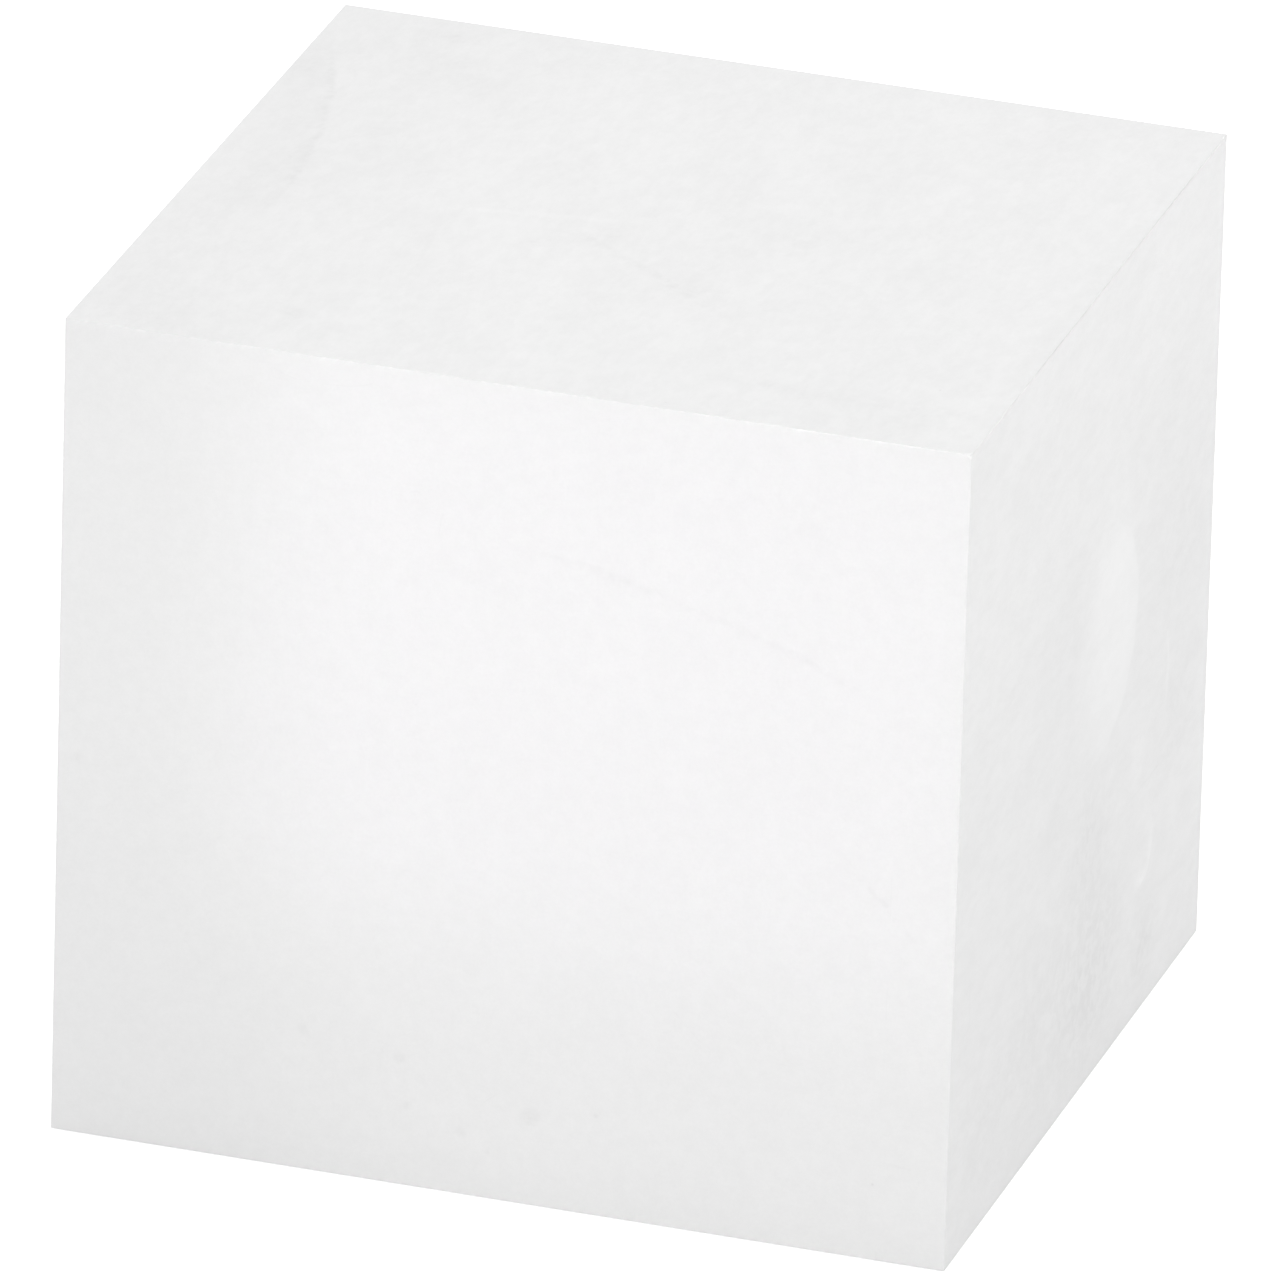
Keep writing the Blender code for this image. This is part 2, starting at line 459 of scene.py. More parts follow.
def build_speck_group():
    """Small specks of dust and grit, in a few of the cells of a Voronoi pattern."""
    tree, given, out = new_group(
        "Specks", {"Vector": NOWHERE, "Scale": 120.0, "Radius": 0.08, "Share": 0.1}, ("Mask",)
    )
    inputs = {"Vector": given["Vector"], "Scale": given["Scale"]}
    cells = add_node(tree, "ShaderNodeTexVoronoi", inputs)
    off = maths(tree, "DIVIDE", cells.outputs["Distance"], given["Radius"])
    inside = minus(tree, 1.0, off, clamp=True)
    pick = add_node(tree, "ShaderNodeSeparateColor", {"Color": cells.outputs["Color"]})
    chosen = maths(tree, "LESS_THAN", pick.outputs[0], given["Share"])
    tree.links.new(times(tree, inside, chosen), out.inputs["Mask"])


def build_arris_group():
    """Masks for what lies near the cube's outer edges, and on the inner side of its sheets, which gives
    off painted light.
    """
    tree, given, out = new_group(
        "Arris", {"Vector": NOWHERE, "Width": 0.8 * MM}, ("Mask", "Inner")
    )
    place = vector_maths(tree, "SUBTRACT", given["Vector"], (0.0, 0.0, WALL_MIDDLE_Z))
    away = vector_maths(tree, "ABSOLUTE", place)
    room = vector_maths(tree, "SUBTRACT", (HALF_WIDTH, HALF_DEPTH, WALL_HEIGHT / 2), away)
    x, y, z = add_node(tree, "ShaderNodeSeparateXYZ", {0: room}).outputs
    second = maths(tree, "MINIMUM", maths(tree, "MAXIMUM", x, y), z)
    middle = maths(tree, "MAXIMUM", maths(tree, "MINIMUM", x, y), second)
    mask = minus(tree, 1.0, maths(tree, "DIVIDE", middle, given["Width"]), clamp=True)
    tree.links.new(mask, out.inputs["Mask"])
    height = add_node(tree, "ShaderNodeSeparateXYZ", {0: given["Vector"]}).outputs[2]
    below_top = minus(tree, TOP_Z, height)
    nearest = maths(tree, "MINIMUM", maths(tree, "MINIMUM", x, y), below_top)
    inner = remap(tree, nearest, SHEET_THICKNESS * 0.4, SHEET_THICKNESS * 0.9)
    tree.links.new(inner, out.inputs["Inner"])


def build_smear_group():
    """A mark that follows an arc, or a blot where the radius is nothing; on some sheets it is painted
    shade or painted highlight.
    """
    tree, given, out = new_group(
        "Smear And Painted Light",
        {
            "Vector": NOWHERE,
            "Wobble": 0.0,
            "Breaks": 1.0,
            "Centre": NOWHERE,
            "Radius": 0.1,
            "Inside": 1 * MM,
            "Outside": 1 * MM,
            "Middle": NOWHERE,
            "Reach": 0.05,
            "Patchy": 0.5,
        },
        ("Mask",),
    )
    from_centre = vector_maths(tree, "DISTANCE", given["Vector"], given["Centre"])
    past = minus(tree, plus(tree, from_centre, given["Wobble"]), given["Radius"])
    outside = remap(tree, past, 0.0, given["Outside"], 1.0, 0.0)
    inside = remap(tree, times(tree, past, -1.0), 0.0, given["Inside"], 1.0, 0.0)
    along = vector_maths(tree, "DISTANCE", given["Vector"], given["Middle"])
    full_reach = times(tree, given["Reach"], 0.45)
    fade = remap(tree, along, full_reach, given["Reach"], 1.0, 0.0)
    lost = times(tree, minus(tree, 1.0, given["Breaks"]), given["Patchy"])
    kept = minus(tree, 1.0, lost, clamp=True)
    mask = times(tree, times(tree, inside, outside), times(tree, fade, kept))
    tree.links.new(mask, out.inputs["Mask"])


def build_saw_group():
    """Fine ridges that a saw leaves across a cut face."""
    tree, given, out = new_group(
        "Saw Lines", {"Vector": NOWHERE, "Stretch": (SAW_ACROSS, SAW_ALONG, SAW_ALONG)}, ("Ridge",)
    )
    stretched = vector_maths(tree, "MULTIPLY", given["Vector"], given["Stretch"])
    tree.links.new(noise_at(tree, stretched, 1.0, 3.0, 0.6), out.inputs["Ridge"])


def build_groups():
    """Build every shared effect once."""
    build_clouding_group()
    build_hairline_group()
    build_speck_group()
    build_arris_group()
    build_smear_group()
    build_saw_group()


# Materials

ACRYLIC_IOR = 1.49

# Clouds and grains to the metre.
SHEET_SCALES = (42.0, 800.0)
STRIP_SCALES = (60.0, 1400.0)
PAD_SCALES = (300.0, 4000.0)
CEMENT_SCALES = (70.0, 2500.0)

# Specks: cells to the metre, radius in cells, and share of the cells that hold one.
SHEET_DUST = (60.0, 0.04, 0.06)
PAD_DUST = (900.0, 0.2, 0.15)
CEMENT_BUBBLES = (700.0, 0.25, 0.2)

# Bumps: strength and distance.
SHEET_BUMP = (0.08, 0.05 * MM)
STRIP_BUMP = (0.35, 0.12 * MM)
PAD_BUMP = (0.4, 0.05 * MM)
CEMENT_BUMP = (0.05, 0.02 * MM)

# Roughness, from least to most.
SHEET_ROUGHNESS = (0.3, 0.34)
STRIP_ROUGHNESS = (0.3, 0.55)
PAD_ROUGHNESS = (0.6, 0.8)
CEMENT_ROUGHNESS = (0.4, 0.6)


def new_material(name):
    """A material with one Principled shader, and the Object coordinates that its patterns read."""
    material = bpy.data.materials.new(name)
    material.use_nodes = True
    tree = material.node_tree
    shader = tree.nodes["Principled BSDF"]
    shader.inputs["IOR"].default_value = ACRYLIC_IOR
    place = add_node(tree, "ShaderNodeTexCoord").outputs["Object"]
    return material, tree, shader, place


def set_surface(tree, shader, colour, rough, height, strength, distance):
    """Give a shader its colour, its roughness and its bump."""
    inputs = {"Height": height, "Strength": strength, "Distance": distance}
    normal = add_node(tree, "ShaderNodeBump", inputs).outputs["Normal"]
    set_inputs(tree, shader, {"Base Color": colour, "Roughness": rough, "Normal": normal})


def clouding(tree, vector, cloud_scale, grain_scale):
    """The outputs of the clouding group."""
    inputs = {"Vector": vector, "Cloud Scale": cloud_scale, "Grain Scale": grain_scale}
    return use_group(tree, "Cast Clouding", inputs)


def specks(tree, vector, scale, radius, share):
    """The mask of the speck group."""
    inputs = {"Vector": vector, "Scale": scale, "Radius": radius, "Share": share}
    return use_group(tree, "Specks", inputs)["Mask"]


def saw_ridge(tree, vector, stretch):
    """The ridges of the saw group."""
    return use_group(tree, "Saw Lines", {"Vector": vector, "Stretch": stretch})["Ridge"]


def on_sheet(facing, point):
    """A place in metres on a sheet's outer face, from millimetres across it and up or back along it."""
    across, along = point[0] * MM, point[1] * MM
    if facing.z:
        return (across, along, TOP_Z)
    if facing.y:
        return (across, facing.y * HALF_DEPTH, along)
    return (facing.x * HALF_WIDTH, across, along)


def add_smears_and_painted_light(tree, place, name, facing):
    """The sheet's marks as two values: how much they darken it, with painted shade among them, and how
    much they lighten it, with painted highlight among them.
    """
    wander = minus(tree, noise_at(tree, place, 70.0, 3.0), NOISE_MIDDLE)
    wobble = times(tree, wander, 5 * MM)
    breaks = remap(tree, noise_at(tree, place, 260.0, 2.0), 0.38, 0.62)
    marks = list(ARC_MARKS.get(name, ()))
    for spot, radius, amount in BLOTS.get(name, ()):
        marks.append((spot, 0.0, 1.0, radius, spot, 20 * radius, 0.6, amount))
    grime_and_painted_shade, polish_and_painted_highlight = 0.0, 0.0
    for centre, radius, inside, outside, middle, reach, patchy, amount in marks:
        lengths = {"Radius": radius, "Inside": inside, "Outside": outside, "Reach": reach}
        inputs = {label: length * MM for label, length in lengths.items()}
        inputs |= {"Vector": place, "Wobble": wobble, "Breaks": breaks, "Patchy": patchy}
        inputs |= {"Centre": on_sheet(facing, centre), "Middle": on_sheet(facing, middle)}
        share = times(tree, use_group(tree, "Smear And Painted Light", inputs)["Mask"], abs(amount))
        if amount > 0:
            grime_and_painted_shade = plus(tree, share, grime_and_painted_shade)
        else:
            polish_and_painted_highlight = plus(tree, share, polish_and_painted_highlight)
    return grime_and_painted_shade, polish_and_painted_highlight


def opal_acrylic(name, facing):
    """White opal acrylic: clouds, smears, hairlines, specks, scraped arrises and a sawn rim, with
    painted shade and painted highlight among the smears on some sheets and painted light given off by
    its inner side.
    """
    finish = bpy.context.scene.display_cube.finish
    material, tree, shader, place = new_material(name.replace("sheet", "opal_acrylic"))
    clouds, mottles, grains, stretch = CLOUDING[name]
    cast = clouding(tree, vector_maths(tree, "MULTIPLY", place, stretch), *SHEET_SCALES)
    edges = use_group(tree, "Arris", {"Vector": place, "Width": 0.6 * MM})
    # Painted light: the inner side of each sheet gives off light in the sheet's colour, standing in for
    # light that soaks through the opal; no lamp is there.
    shader.inputs["Emission Strength"].default_value = finish.painted_glow
    through = mixed_colour(tree, edges["Inner"], BLACK, finish.sheet)
    tree.links.new(through, shader.inputs["Emission Color"])
    scratches = {"Vector": place, "Scale": 14.0, "Width": 0.002, "Amount": 0.4}
    hair = use_group(tree, "Hairlines", scratches)["Mask"]
    dust = specks(tree, place, *SHEET_DUST)
    grime_and_painted_shade, polish_and_painted_highlight = add_smears_and_painted_light(tree, place, name, facing)

    coarse = plus(tree, times(tree, cast["Cloud"], clouds), times(tree, cast["Mottle"], mottles))
    tone = plus(tree, coarse, times(tree, cast["Grain"], grains))
    colour = mixed_colour(tree, tone, finish.sheet, finish.clouded)
    # Lighter where wiping polished it, and where the right sheet has painted highlight and painted
    # light.
    colour = mixed_colour(tree, polish_and_painted_highlight, colour, finish.wiped_and_painted_highlight)
    fine_dirt = maths(tree, "MAXIMUM", times(tree, hair, 0.06), times(tree, dust, 0.4))
    # Darker with hairlines, dust and grimy marks, and with painted shade on the right sheet and along
    # the top sheet's right border.
    dirt = plus(tree, fine_dirt, grime_and_painted_shade, clamp=True)
    colour = mixed_colour(tree, dirt, colour, finish.grime_and_painted_shade)

    haze = remap(tree, cast["Cloud"], 0.0, 1.0, *SHEET_ROUGHNESS)
    rough = plus(tree, haze, times(tree, edges["Mask"], 0.2))
    rough = plus(tree, rough, times(tree, dirt, 0.4), clamp=True)

    height = minus(tree, times(tree, cast["Grain"], 0.1), times(tree, dirt, 0.5))
    if not facing.z:
        level = add_node(tree, "ShaderNodeSeparateXYZ", {0: place}).outputs[2]
        at_rim = maths(tree, "LESS_THAN", level, RIM_Z + 0.1 * MM)
        across_saw = (SAW_ACROSS, SAW_ALONG, SAW_ALONG)
        along_saw = (SAW_ALONG, SAW_ACROSS, SAW_ALONG)
        ridge = saw_ridge(tree, place, across_saw if facing.y else along_saw)
        height = plus(tree, height, times(tree, times(tree, ridge, at_rim), 2.0))
        rough = plus(tree, rough, times(tree, at_rim, 0.2), clamp=True)
    set_surface(tree, shader, colour, rough, height, *SHEET_BUMP)
    return material


def strip_acrylic(name, run):
    """Sawn white acrylic strip: saw lines across its run, and a little clouding."""
    finish = bpy.context.scene.display_cube.finish
    material, tree, shader, place = new_material(name)
    cast = clouding(tree, place, *STRIP_SCALES)
    ridge = saw_ridge(tree, place, tuple(1100.0 if abs(part) > 0.5 else 50.0 for part in run))
    tone = plus(tree, times(tree, cast["Cloud"], 0.6), times(tree, ridge, 0.6))
    darker = [part * 0.9 for part in finish.strip]
    colour = mixed_colour(tree, tone, finish.strip, darker)
    rough = remap(tree, ridge, NOISE_LOW, NOISE_HIGH, *STRIP_ROUGHNESS)
    set_surface(tree, shader, colour, rough, ridge, *STRIP_BUMP)
    return material


def pad_rubber():
    """Matte grey rubber with a fine grain and a little dust."""
    finish = bpy.context.scene.display_cube.finish
    material, tree, shader, place = new_material("pad_rubber")
    cast = clouding(tree, place, *PAD_SCALES)
    dust = specks(tree, place, *PAD_DUST)
    darker = [part * 0.85 for part in finish.rubber]
    colour = mixed_colour(tree, cast["Cloud"], finish.rubber, darker)
    colour = mixed_colour(tree, times(tree, dust, 0.5), colour, finish.strip)
    rough = remap(tree, cast["Mottle"], 0.0, 1.0, *PAD_ROUGHNESS)
    set_surface(tree, shader, colour, rough, cast["Grain"], *PAD_BUMP)
    return material


def set_cement(name, clean, aged, share, worst=()):
    """Set cement with bubbles, aged in patches, or all along but most near its worst places."""
    material, tree, shader, place = new_material(name)
    cast = clouding(tree, place, *CEMENT_SCALES)
    bubbles = specks(tree, place, *CEMENT_BUBBLES)
    tone = times(tree, plus(tree, cast["Cloud"], bubbles, clamp=True), share)
    if worst:
        tone = plus(tree, times(tree, tone, 0.35), 0.45)
    for spot, reach, least in worst:
        away = vector_maths(tree, "DISTANCE", place, spot)
        ageing = remap(tree, away, 0.35 * reach, reach, 1.0, least)
        tone = maths(tree, "MULTIPLY", tone, ageing, clamp=True)
    colour = mixed_colour(tree, tone, clean, aged)
    rough = remap(tree, cast["Mottle"], 0.0, 1.0, *CEMENT_ROUGHNESS)
    height = minus(tree, cast["Grain"], bubbles)
    set_surface(tree, shader, colour, rough, height, *CEMENT_BUMP)
    return material


# Shapes

# Distances, in metres, under which two points are one and a point is on a plane.
SAME_POINT = 1e-7
ON_PLANE = 1e-6


def add_mesh(name, bm, material):
    """Turn a bmesh into an object in the scene."""
    mesh = bpy.data.meshes.new(name)
    bm.to_mesh(mesh)
    bm.free()
    mesh.materials.append(material)
    thing = bpy.data.objects.new(name, mesh)
    bpy.context.scene.collection.objects.link(thing)
    return thing


def add_piece(name, bm, material, nodes=()):
    """Turn a bmesh into a piece that rides on the cube and stands for its nodes."""
    bmesh.ops.remove_doubles(bm, verts=bm.verts[:], dist=SAME_POINT)
    bmesh.ops.recalc_face_normals(bm, faces=bm.faces[:])
    piece = add_mesh(name, bm, material)
    piece.data.shade_smooth()
    piece.data.set_sharp_from_angle(angle=SHARP_ANGLE)
    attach(piece, BODY)
    if nodes:
        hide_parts(*nodes)


def box_bmesh(low, high):
    """A box between two corners."""
    bm = bmesh.new()
    place = Matrix.Translation((low + high) / 2) @ Matrix.Diagonal((*(high - low), 1.0))
    bmesh.ops.create_cube(bm, size=1.0, matrix=place)
    return bm


def everything(bm):
    """All the geometry of a bmesh, as the bisect operator wants it."""
    return bm.verts[:] + bm.edges[:] + bm.faces[:]


def cut_off(bm, point, normal):
    """Cut away what lies past a plane, and close the cut."""
    cut = bmesh.ops.bisect_plane(
        bm, geom=everything(bm), plane_co=point, plane_no=normal, clear_outer=True
    )
    edges = [item for item in cut["geom_cut"] if isinstance(item, bmesh.types.BMEdge)]
    bmesh.ops.edgeloop_fill(bm, edges=edges)


def cut_across(bm, axis, places):
    """Cut a shape across an axis at each place along it."""
    for place in places:
        bmesh.ops.bisect_plane(bm, geom=everything(bm), plane_co=axis * place, plane_no=axis)


def ease_edges(bm, edges, width, segments):
    """Round some edges over."""
    shape = {"segments": segments, "profile": 0.5, "clamp_overlap": True}
    bmesh.ops.bevel(bm, geom=edges, offset=width, affect="EDGES", material=-1, **shape)


def set_in_place(bm, place, axes):
    """Turn a shape's own X, Y and Z to three axes, and move its origin to a place."""
    turned = Matrix(axes).transposed().to_4x4()
    bmesh.ops.transform(bm, matrix=Matrix.Translation(place) @ turned, verts=bm.verts[:])


def even_places(low, high, step):
    """Places between two ends, about a step apart."""
    count = max(1, round((high - low) / step))
    return [low + (high - low) * number / count for number in range(1, count)]


# How far from a sheet's edges it is cut across.
EDGE_CUTS = (0.8 * MM, 2 * MM, 5 * MM)


def sheet_cuts(half, cell):
    """Where to cut across a sheet: close together near its edges, and a cell apart between them."""
    near = [half - room for room in EDGE_CUTS]
    return [-place for place in near] + near + even_places(-near[-1], near[-1], cell)


def middle_of(ways):
    """The middle of the face that faces one way, or of the edge between the faces that face two."""
    level = TOP_Z if ways.z else WALL_MIDDLE_Z
    return Vector((ways.x * HALF_WIDTH, ways.y * HALF_DEPTH, level))


def ripple_at(x, y, turn):
    """Height of a sheet's casting waves at a point, from about -1 to 1. Each sheet has its own turn."""
    spot = Vector((x * 9 + 31 * turn, y * 9 - 17 * turn, 5 * turn))
    return noise.noise(spot) + 0.4 * noise.noise(spot * 2.7)


def smooth_step(share):
    """A share from 0 to 1, with no kink at either end."""
    share = min(1.0, max(0.0, share))
    return share * share * (3 - 2 * share)


def gap_between(settings, first, second):
    """Width of the joint between the sheets that face two ways."""
    starved = {name: (one, two) for name, one, two in BONDS}[STARVED_BOND]
    same = (first + second - starved[0] - starved[1]).length < 0.5
    return settings.starved_gap if same else settings.bond_gap


def sheet_bmesh(half_x, half_y, mitres, settings, turn):
    """One sheet, outer face up at z = 0: mitred, chamfered, eased at its rim and slightly wavy."""
    bm = box_bmesh(Vector((-half_x, -half_y, -SHEET_THICKNESS)), Vector((half_x, half_y, 0)))
    for outward, gap in mitres:
        reach = half_x if outward.x else half_y
        slope = (outward - UP).normalized()
        cut_off(bm, outward * reach - slope * gap / 2, slope)
        cut_off(bm, outward * (reach - settings.arris), (outward + UP).normalized())
    at_rim = [
        edge for edge in bm.edges
        if all(abs(vert.co.y + half_y) < ON_PLANE for vert in edge.verts)
        and edge.calc_length() > half_x
    ]
    if at_rim:
        ease_edges(bm, at_rim, settings.rim_easing, 3)
    at_arris = [
        edge for edge in bm.edges
        if all(abs(vert.co.z) < ON_PLANE for vert in edge.verts)
        and SHARP_ANGLE < edge.calc_face_angle() < RIGHT_ANGLE - SHARP_ANGLE
    ]
    ease_edges(bm, at_arris, settings.arris_round, 2)
    cut_across(bm, Vector((1, 0, 0)), sheet_cuts(half_x, settings.cell))
    cut_across(bm, Vector((0, 1, 0)), sheet_cuts(half_y, settings.cell))
    held = SHEET_THICKNESS + STRIP_GAP + STRIP_WIDTH
    for vert in bm.verts:
        x, y, _ = vert.co
        room_x, room_y = 1 - abs(x) / (half_x - held), 1 - abs(y) / (half_y - held)
        free = smooth_step(4 * room_x) * smooth_step(4 * room_y)
        sink = smooth_step(room_x) * smooth_step(room_y)
        vert.co.z += free * settings.ripple * ripple_at(x, y, turn) - sink * settings.bow
    return bm


def knock_corner(bm, settings):
    """Take the bruised corner off whatever reaches it, as flats of unlike slope."""
    corner = Vector((HALF_WIDTH, -HALF_DEPTH, TOP_Z))
    for lean in ((0.33, -0.5, 0.67), (0.52, -0.5, 0.62), (0.4, -0.62, 0.5)):
        normal = Vector(lean).normalized()
        point = corner - normal * settings.corner_knock
        if any((vert.co - point).dot(normal) > ON_PLANE for vert in bm.verts):
            cut_off(bm, point, normal)


class DISPLAYCUBE_OT_sheets(bpy.types.Operator):
    """Make the five mitred sheets of opal acrylic"""

    bl_idname = "displaycube.sheets"
    bl_label = "Sheets"

    def execute(self, context):
        settings = context.scene.display_cube.sheets
        for turn, (name, node, facing, along) in enumerate(SHEETS):
            across = along.cross(facing)
            half_x = HALF_WIDTH if across.x else HALF_DEPTH
            half_y = HALF_DEPTH if facing.z else WALL_HEIGHT / 2
            sides = [(1, 0), (-1, 0), (0, 1)] + ([(0, -1)] if facing.z else [])
            mitres = [
                (Vector((x, y, 0)), gap_between(settings, facing, across * x + along * y))
                for x, y in sides
            ]
            bm = sheet_bmesh(half_x, half_y, mitres, settings, turn)
            set_in_place(bm, middle_of(facing), (across, along, facing))
            knock_corner(bm, settings)
            add_piece(name, bm, opal_acrylic(name, facing), [node])
        return {"FINISHED"}


BOND_STEP = 3 * MM
BOND_OVERLAP = 0.01 * MM
BOND_ABOVE_RIM = 0.05 * MM


def bond_bmesh(first, second, gap, recess, dip):
    """The web of cement in one mitre: X along the joint, Y out to the arris, Z across the gap."""
    total = first + second
    middle = middle_of(total)
    run, outward, across = first.cross(second), total.normalized(), (first - second).normalized()
    half = abs(run.x) * HALF_WIDTH + abs(run.y) * HALF_DEPTH + abs(run.z) * WALL_HEIGHT / 2
    thick = gap / 2 + BOND_OVERLAP
    inner = SHEET_THICKNESS * math.sqrt(2)
    bm = box_bmesh(Vector((-half, -inner, -thick)), Vector((half, -recess, thick)))
    cut_across(bm, Vector((1, 0, 0)), even_places(-half, half, BOND_STEP))
    if dip:
        for vert in bm.verts:
            if vert.co.y > -inner / 2:
                vert.co.y -= dip * max(0.0, noise.noise(Vector((vert.co.x * 90, 0, 7.7))))
    set_in_place(bm, middle, (run, outward, across))
    for end in (run, -run):
        if end.z < 0:
            cut_off(bm, Vector((0, 0, RIM_Z + BOND_ABOVE_RIM)), end)
        else:
            cut_off(bm, middle + end * half, (end - total / 2).normalized())
    return bm


class DISPLAYCUBE_OT_bonds(bpy.types.Operator):
    """Fill the eight mitred joints with cement"""

    bl_idname = "displaycube.bonds"
    bl_label = "Bonds"

    def execute(self, context):
        settings = context.scene.display_cube
        finish, cement = settings.finish, settings.cement
        filled = set_cement("bond_cement", finish.cement, finish.strip, 0.5)
        spots = ((Vector((HALF_WIDTH, HALF_DEPTH * 0.15, TOP_Z)), HALF_DEPTH * 1.1, 0.35),)
        aged = set_cement("aged_cement", finish.strip, finish.old_cement, 0.9, spots)
        below_chamfer = settings.sheets.arris / math.sqrt(2)
        for name, first, second in BONDS:
            starved = name == STARVED_BOND
            gap = gap_between(settings.sheets, first, second)
            recess = max(below_chamfer, gap / 2) + (cement.starved_recess if starved else cement.recess)
            bm = bond_bmesh(first, second, gap, recess, cement.dip if starved else 0.0)
            knock_corner(bm, settings.sheets)
            add_piece(name, bm, aged if starved else filled)
        return {"FINISHED"}


class DISPLAYCUBE_OT_strips(bpy.types.Operator):
    """Make the square strips in the inner corners"""

    bl_idname = "displaycube.strips"
    bl_label = "Strips"

    def execute(self, context):
        settings = context.scene.display_cube.strips
        for node, first, second in STRIPS:
            bm = box_bmesh(*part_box(node))
            ease_edges(bm, bm.edges[:], settings.easing, 3)
            material = strip_acrylic(f"{node}_acrylic", first.cross(second))
            add_piece(f"{node}_bar", bm, material, [node])
        return {"FINISHED"}


BEAD_END_GAP = 1.5 * MM
BEAD_TAPER = 6 * MM
BEAD_SUNK = 0.1 * MM
BEAD_LEAST = 0.2


def bead_bmesh(node, touched, free, settings, turn):
    """A fillet of cement between a strip's free side and the sheet that it touches, uneven along it."""
    low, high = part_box(node)
    middle, half = (low + high) / 2, (high - low) / 2
    run = touched.cross(free)
    reach = Vector([abs(part) for part in run]).dot(half) - BEAD_END_GAP
    side = STRIP_WIDTH / 2
    inner = Vector((-reach, -BEAD_SUNK, -BEAD_SUNK))
    bm = box_bmesh(inner, Vector((reach, settings.bead, settings.bead)))
    cut_off(bm, Vector((0, settings.bead, 0)), Vector((0, 1, 1)).normalized())
    cut_across(bm, Vector((1, 0, 0)), even_places(-reach, reach, settings.bead_step))
    for vert in bm.verts:
        if max(vert.co.y, vert.co.z) > BEAD_SUNK:
            swell = noise.noise(Vector((vert.co.x * 55, 9.3 * turn, 0)))
            swell += 0.5 * noise.noise(Vector((vert.co.x * 190, 0, 4.1 * turn)))
            ends = smooth_step((reach - abs(vert.co.x)) / BEAD_TAPER)
            size = max(BEAD_LEAST, ends * (0.75 + 0.8 * swell))
            vert.co.y *= size if vert.co.y > 0 else 1.0
            vert.co.z *= size if vert.co.z > 0 else 1.0
    start = middle + touched * (side + STRIP_GAP) - free * side
    set_in_place(bm, start, (run, -free, -touched))
    return bm


class DISPLAYCUBE_OT_fillets(bpy.types.Operator):
    """Lay the fillets of squeezed out cement along the strips"""

    bl_idname = "displaycube.fillets"
    bl_label = "Fillets"

    def execute(self, context):
        settings = context.scene.display_cube
        material = set_cement("fillet_cement", settings.finish.cement, settings.finish.strip, 0.8)
        turn = 0
        for node, first, second in STRIPS:
            for touched, free in ((first, second), (second, first)):
                turn += 1
                bm = bead_bmesh(node, touched, free, settings.cement, turn)
                add_piece(f"{node}_fillet_{turn % 2 + 1}", bm, material)
        return {"FINISHED"}


PAD_STEPS, FOOT_STEPS = 48, 6


def turned_bmesh(profile, middle):
    """Spin a profile of (radius, z) pairs about a vertical line through a point."""
    bm = bmesh.new()
    verts = [bm.verts.new((radius, 0, z)) for radius, z in profile]
    edges = [bm.edges.new(pair) for pair in zip(verts, verts[1:])]
    bmesh.ops.spin(
        bm,
        geom=verts + edges,
        cent=NOWHERE,
        axis=UP,
        angle=4 * RIGHT_ANGLE,
        steps=PAD_STEPS,
        use_merge=True,
    )
    bmesh.ops.remove_doubles(bm, verts=bm.verts[:], dist=ON_PLANE)
    bmesh.ops.translate(bm, vec=(middle.x, middle.y, 0), verts=bm.verts[:])
    return bm


def pad_profile(radius, low, high, settings):
    """Half the outline of a pad: a ring moulded in its underside, a round foot and an eased top."""
    ring_z = low + settings.ring_depth
    points = [(0.0, ring_z), (radius * 0.4, ring_z), (radius * 0.5, low)]
    easing = settings.foot_round
    for step in range(FOOT_STEPS + 1):
        angle = RIGHT_ANGLE * step / FOOT_STEPS
        out, up = math.sin(angle), 1 - math.cos(angle)
        points.append((radius - easing + easing * out, low + easing * up))
    return points + [(radius * 0.98, high - 0.15 * MM), (radius * 0.94, high), (0.0, high)]


class DISPLAYCUBE_OT_foot_pads(bpy.types.Operator):
    """Turn the round pads under the corner strips, and the sticky film above each"""

    bl_idname = "displaycube.foot_pads"
    bl_label = "Foot Pads"

    def execute(self, context):
        settings = context.scene.display_cube
        rubber = pad_rubber()
        sticky = set_cement("film_adhesive", settings.finish.strip, settings.finish.old_cement, 0.4)
        for node in FOOT_PADS:
            low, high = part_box(node)
            middle, radius = (low + high) / 2, (high.x - low.x) / 2
            profile = pad_profile(radius, low.z, high.z, settings.pads)
            disc = turned_bmesh(profile, middle)
            add_piece(f"{node}_disc", disc, rubber, [node])
            film = high.z + settings.pads.film
            profile = ((0.0, high.z), (radius * 0.9, high.z), (radius * 0.9, film), (0.0, film))
            add_piece(f"{node}_film", turned_bmesh(profile, middle), sticky)
        return {"FINISHED"}


# Stage

